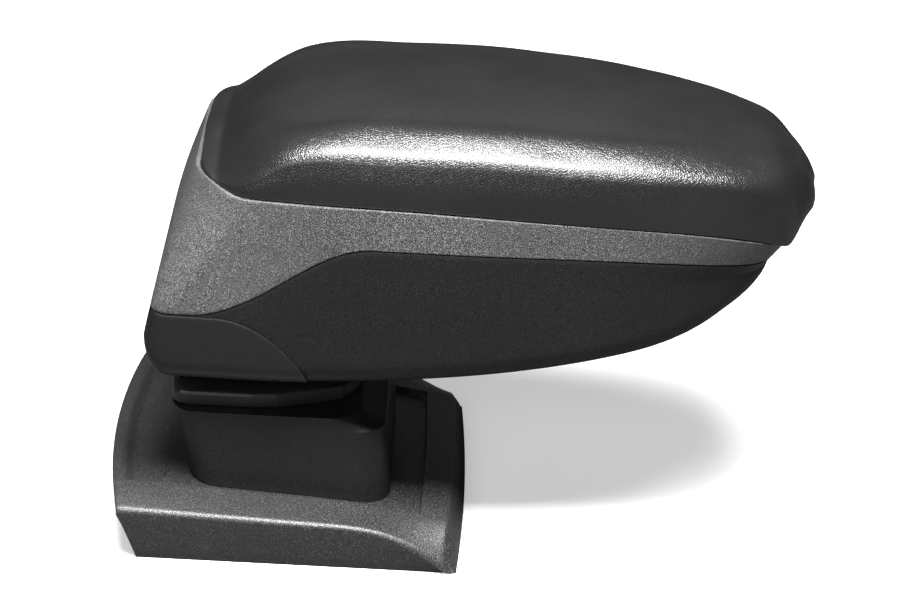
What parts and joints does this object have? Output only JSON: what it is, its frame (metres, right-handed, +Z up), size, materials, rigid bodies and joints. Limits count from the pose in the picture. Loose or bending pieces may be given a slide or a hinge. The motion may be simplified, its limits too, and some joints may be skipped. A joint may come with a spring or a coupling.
{
  "type": "car centre armrest",
  "caption": "Padded storage armrest that tilts up on a post, with an opening lid, on an adapter for a car's centre console.",
  "frame": {"origin": "middle of the adapter's underside, on the part's plane of symmetry", "axes": "+X towards the nose of the arm, +Y to its left, +Z up"},
  "size_m": [0.3367, 0.17, 0.2215],
  "materials": {
    "moulded": "grained",
    "liner": "matte",
    "steel": "zinc plated",
    "cast": "satin black",
    "rubber": "matte",
    "leather": "fine grain",
    "board": "raw"
  },
  "bodies": {
    "base": {"base_housing": "moulded", "seat_tray": "steel", "post": "moulded", "post_bracket": "steel", "post_screws": "steel", "bracket_bolts": "steel", "tilt_foot": "cast", "foot_bolts": "steel", "stop_pad": "rubber", "tilt_axle": "steel", "axle_nut": "steel"},
    "arm": {"lower_shell": "moulded", "hinge_bracket": "steel", "bush_left": "liner", "bush_right": "liner", "friction_washers": "steel", "bracket_screws": "steel", "side_cap_left": "moulded", "side_cap_right": "moulded", "storage_bin": "liner", "bin_screws": "steel", "bin_mat": "rubber", "catch_plate": "steel", "lid_hinge_pin": "steel", "lid_buffers": "rubber"},
    "lid": {"lid_frame": "moulded", "lid_catch": "liner", "cushion_board": "board", "board_screws": "steel", "lid_cushion": "leather"}
  },
  "joints": [
    {"name": "arm_tilt", "type": "hinge", "parent": "base", "child": "arm", "pos_m": [-0.052, 0, 0.105], "axis": [0, -1, 0], "range_deg": [0, 85]},
    {"name": "lid_open", "type": "hinge", "parent": "arm", "child": "lid", "pos_m": [-0.0706, 0, 0.1196], "axis": [0, -1, 0], "range_deg": [0, 75]}
  ]
}
